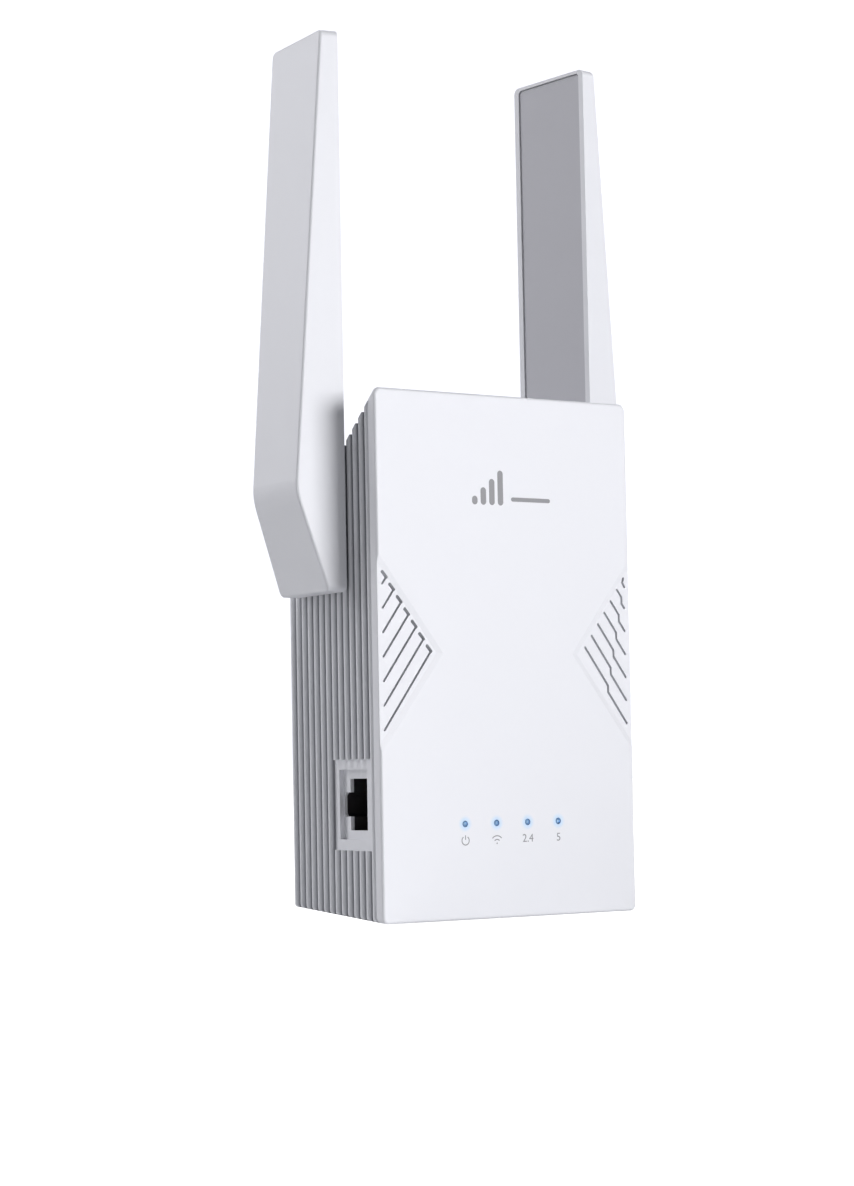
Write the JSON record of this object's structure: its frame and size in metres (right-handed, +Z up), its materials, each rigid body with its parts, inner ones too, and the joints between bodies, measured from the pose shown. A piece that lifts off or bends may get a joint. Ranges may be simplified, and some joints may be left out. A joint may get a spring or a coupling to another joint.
{
  "type": "wifi range extender",
  "caption": "Plug-in wifi range extender: flat-fronted wedge case with ribbed sides, slotted vent fields, a side Ethernet socket and folding paddle aerials on its sides.",
  "frame": {"origin": "on the flat back face that rests on the outlet plate, midway between the two plug blades", "axes": "+X to the right seen from the front, +Y into the wall along the blades, +Z up along the raised aerials"},
  "size_m": [0.0972, 0.062, 0.2118],
  "materials": {
    "white_abs": "satin moulded ABS",
    "grey_white_abs": "fine textured ABS",
    "white_insulator": "moulded insulator",
    "nickel_plate": "nickel-plated brass",
    "clear_acrylic": "clear moulded light pipe",
    "blue_led": "lit emitter",
    "green_laminate": "solder mask over glass laminate",
    "tan_laminate": "paper laminate",
    "black_epoxy": "moulded epoxy",
    "tinned_steel": "tinned pressed steel",
    "thermal_silicone": "soft silicone",
    "aluminium_fins": "extruded",
    "black_nylon": "moulded nylon",
    "gold_contact": "gold flash",
    "ferrite": "sintered ferrite",
    "yellow_tape": "polyester tape",
    "capacitor_sleeve": "shrunk sleeve",
    "copper_winding": "enamelled copper",
    "fuse_ceramic": "ceramic tube",
    "insulating_film": "polyester film",
    "zinc_steel": "zinc-plated steel",
    "label_film": "blank film label",
    "grey_sheath": "thin sheath",
    "white_acetal": "acetal"
  },
  "bodies": {
    "case": {"board_screws": "zinc_steel", "bridge_rectifier": "black_epoxy", "bulk_capacitors": "capacitor_sleeve", "coax_lead_left": "grey_sheath", "coax_lead_right": "grey_sheath", "coax_plugs": "gold_contact", "ethernet_jack": "black_nylon", "film_capacitor": "yellow_tape", "front_cover": "white_abs", "fuse": "fuse_ceramic", "heat_sink": "aluminium_fins", "hinge_washer_left": "zinc_steel", "hinge_washer_right": "zinc_steel", "insulating_sheet": "insulating_film", "jack_contacts": "gold_contact", "light_pipes": "clear_acrylic", "line_blade": "nickel_plate", "line_choke": "copper_winding", "main_board": "green_laminate", "main_chips": "black_epoxy", "neutral_blade": "nickel_plate", "pairing_switch": "black_nylon", "plug_base": "white_insulator", "power_board": "tan_laminate", "radio_shields": "tinned_steel", "rating_label": "label_film", "rear_housing": "white_abs", "reset_switch": "black_nylon", "status_lights": "blue_led", "supply_header": "black_nylon", "thermal_pad": "thermal_silicone", "transformer_core": "ferrite", "transformer_winding": "yellow_tape"},
    "left_aerial": {"aerial_shell_left": "white_abs", "aerial_panel_left": "grey_white_abs", "aerial_board_left": "green_laminate", "feed_lead_left": "grey_sheath", "hinge_barrel_left": "white_acetal", "hinge_ring_left": "zinc_steel"},
    "right_aerial": {"aerial_shell_right": "white_abs", "aerial_panel_right": "grey_white_abs", "aerial_board_right": "green_laminate", "feed_lead_right": "grey_sheath", "hinge_barrel_right": "white_acetal", "hinge_ring_right": "zinc_steel"},
    "pairing_key": {"pairing_button": "white_abs", "pairing_plunger": "black_nylon"},
    "reset_key": {"reset_plunger": "black_nylon"}
  },
  "joints": [
    {"name": "left_aerial_hinge", "type": "hinge", "parent": "case", "child": "left_aerial", "pos_m": [-0.03561, -0.01903, 0.063], "axis": [0.9969, -0.0785, 0], "range_deg": [0, 180]},
    {"name": "right_aerial_hinge", "type": "hinge", "parent": "case", "child": "right_aerial", "pos_m": [0.03561, -0.01903, 0.063], "axis": [0.9969, 0.0785, 0], "range_deg": [0, 180]},
    {"name": "pairing_press", "type": "slide", "parent": "case", "child": "pairing_key", "axis": [-0.9969, -0.0785, 0], "range_m": [0, 0.0008], "stiffness_N_per_m": 1500},
    {"name": "reset_press", "type": "slide", "parent": "case", "child": "reset_key", "axis": [-1, 0, 0], "range_m": [0, 0.0003], "stiffness_N_per_m": 3000}
  ]
}
